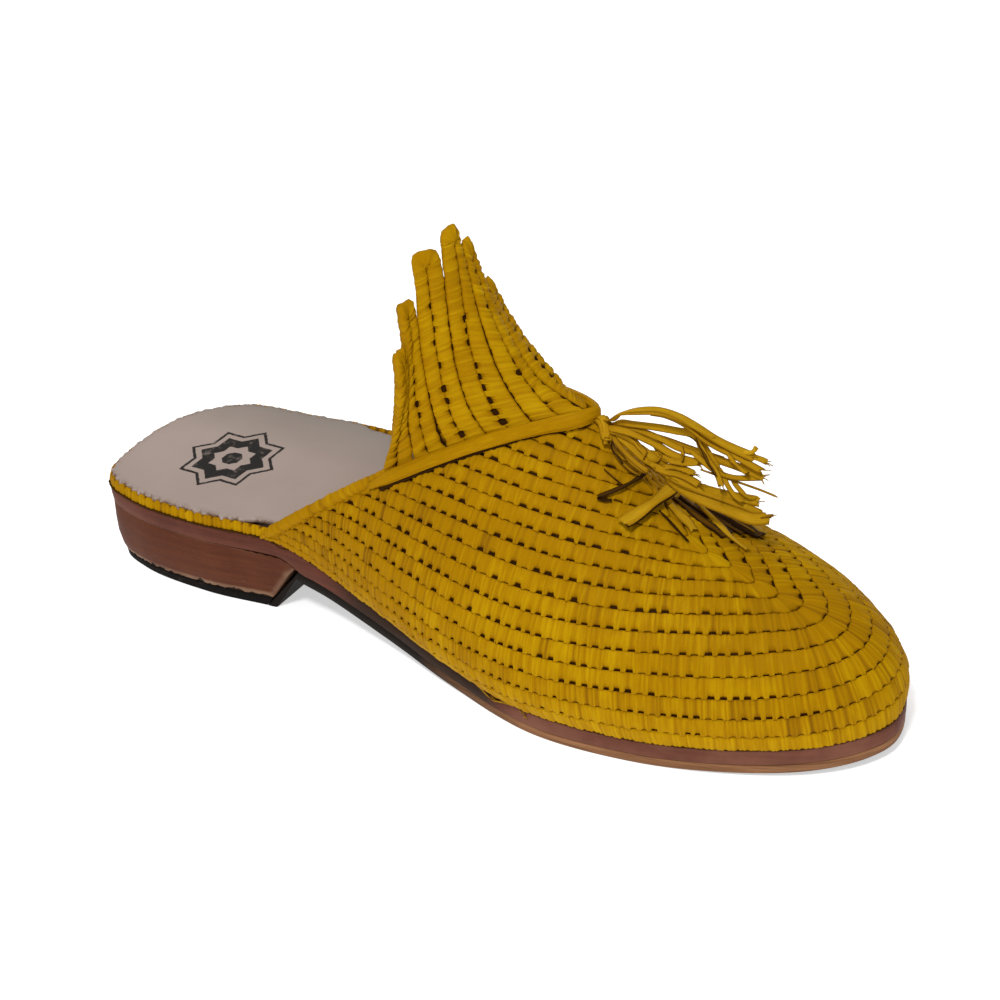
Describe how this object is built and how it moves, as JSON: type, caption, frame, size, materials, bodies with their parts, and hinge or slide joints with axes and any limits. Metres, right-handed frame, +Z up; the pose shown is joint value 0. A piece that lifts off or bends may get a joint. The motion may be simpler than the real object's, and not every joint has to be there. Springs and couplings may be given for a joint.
{
  "type": "raffia slipper",
  "caption": "Left open-backed slipper: crocheted raffia vamp rising into a standing fingered tongue, raffia tassel, leather sole and low leather heel.",
  "frame": {"origin": "middle of the shoe's bounding box, on the floor", "axes": "+X to the toe, +Y to the outer side of the left foot, +Z up"},
  "size_m": [0.2662, 0.0926, 0.1267],
  "materials": {
    "raffia": "dyed yellow raffia, crocheted, slight sheen",
    "sole_leather": "red-brown vegetable leather, rubbed edges",
    "outsole": "dark sheet, matt",
    "lift_rubber": "black rubber, matt",
    "insole_leather": "pale warm grey leather, smooth, matt"
  },
  "bodies": {
    "root": {"outsole": "outsole", "midsole": "sole_leather", "heel_block": "sole_leather", "top_lift": "lift_rubber", "insole": "insole_leather", "heel_rand": "raffia", "upper": "raffia", "throat_band": "raffia", "tassel": "raffia"}
  },
  "joints": []
}
